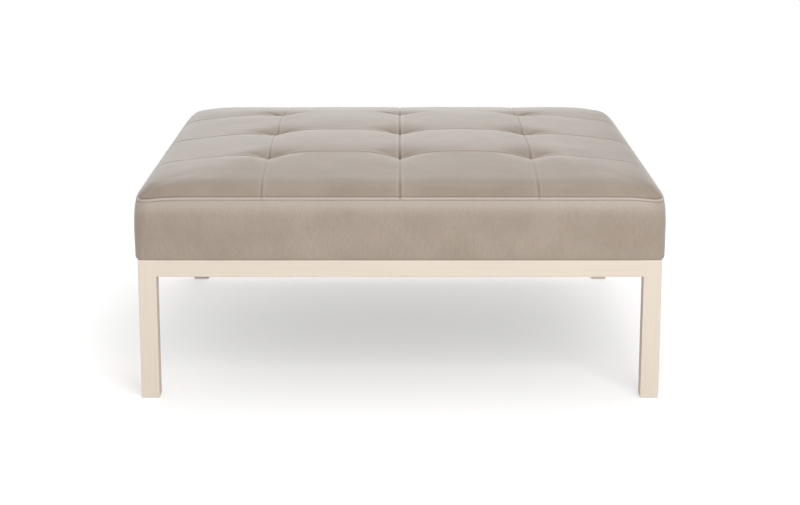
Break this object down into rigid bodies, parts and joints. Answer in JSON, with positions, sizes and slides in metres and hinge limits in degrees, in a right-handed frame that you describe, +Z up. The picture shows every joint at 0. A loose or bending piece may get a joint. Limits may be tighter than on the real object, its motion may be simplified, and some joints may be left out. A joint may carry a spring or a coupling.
{
  "type": "ottoman coffee table",
  "caption": "Square ottoman coffee table: a low, crowned leather cushion, tufted into a grid of panels, bolted to a slim base of whitewashed wood with straight square legs.",
  "frame": {"origin": "centre of the square plan, on the floor under the glides", "axes": "+Z up; +X along the front towards the right, +Y from the front to the back"},
  "size_m": [1.0306, 1.0306, 0.4565],
  "materials": {
    "whitewashed_wood": "pale whitewash over open grain, matte",
    "inner_timber": "plain sawn softwood",
    "plywood": "plain sanded plywood",
    "cover_leather": "soft brushed matte leather, taupe",
    "foam": "open-cell polyurethane foam",
    "fibre_wrap": "white polyester fibre",
    "dust_cloth": "black non-woven cloth",
    "twine": "waxed twine",
    "steel": "zinc plated",
    "washer_plastic": "plain moulded",
    "glide_plastic": "plain moulded"
  },
  "bodies": {
    "root": {"leg_front_left": "whitewashed_wood", "leg_front_right": "whitewashed_wood", "leg_rear_left": "whitewashed_wood", "leg_rear_right": "whitewashed_wood", "rail_front": "whitewashed_wood", "rail_rear": "whitewashed_wood", "rail_left": "whitewashed_wood", "rail_right": "whitewashed_wood", "base_cross_rail": "inner_timber", "corner_block_front_left": "inner_timber", "corner_block_front_right": "inner_timber", "corner_block_rear_left": "inner_timber", "corner_block_rear_right": "inner_timber", "corner_block_screws": "steel", "glide_front_left": "glide_plastic", "glide_front_right": "glide_plastic", "glide_rear_left": "glide_plastic", "glide_rear_right": "glide_plastic", "deck_rail_front": "inner_timber", "deck_rail_rear": "inner_timber", "deck_rail_left": "inner_timber", "deck_rail_right": "inner_timber", "deck_cross_rail_left": "inner_timber", "deck_cross_rail_right": "inner_timber", "deck_panel": "plywood", "deck_screws": "steel", "top_bolts": "steel", "bolt_washers": "steel", "tee_nuts": "steel", "foam_core": "foam", "fibre_wrap": "fibre_wrap", "tuft_ties": "twine", "tuft_washers": "washer_plastic", "cover_top_panels": "cover_leather", "cover_band_front": "cover_leather", "cover_band_rear": "cover_leather", "cover_band_left": "cover_leather", "cover_band_right": "cover_leather", "dust_cover": "dust_cloth", "dust_cover_staples": "steel"}
  },
  "joints": []
}
